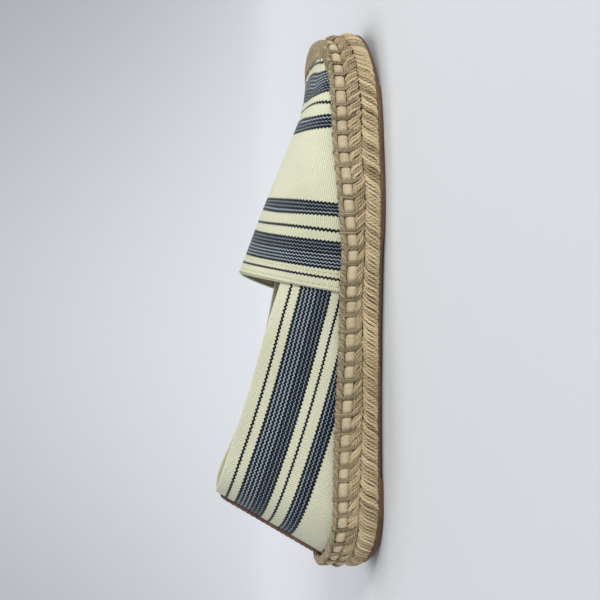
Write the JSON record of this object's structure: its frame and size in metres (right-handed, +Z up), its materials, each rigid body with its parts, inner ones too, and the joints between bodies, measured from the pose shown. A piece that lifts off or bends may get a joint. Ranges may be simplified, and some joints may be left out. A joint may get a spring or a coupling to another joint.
{
  "type": "espadrille",
  "caption": "Flat slip-on espadrille: striped canvas upper open at the collar, edge cord and tape, braided jute sole with a bulging side, thin gum rubber outsole.",
  "frame": {"origin": "on the floor under the middle of the shoe's box", "axes": "+Y to the toe along the shoe's length, +Z up, +X to the shoe's right, the little toe's side"},
  "size_m": [0.0896, 0.2618, 0.074],
  "materials": {
    "gum_rubber": "dull gum brown with a fine tread",
    "jute_braid": "pressed jute braid, matte",
    "cotton_tape": "beige cotton tape, blanket stitched",
    "jute_cord": "twisted jute, matte",
    "insole_cloth": "plain woven cotton, matte",
    "striped_canvas": "cream ribbed cotton canvas with navy zigzag stripes",
    "heel_leather": "thin brown leather strip, satin, bare"
  },
  "bodies": {
    "root": {"outsole": "gum_rubber", "midsole": "jute_braid", "foxing_tape": "cotton_tape", "edge_cord": "jute_cord", "insole": "insole_cloth", "upper": "striped_canvas", "heel_patch": "heel_leather"}
  },
  "joints": []
}
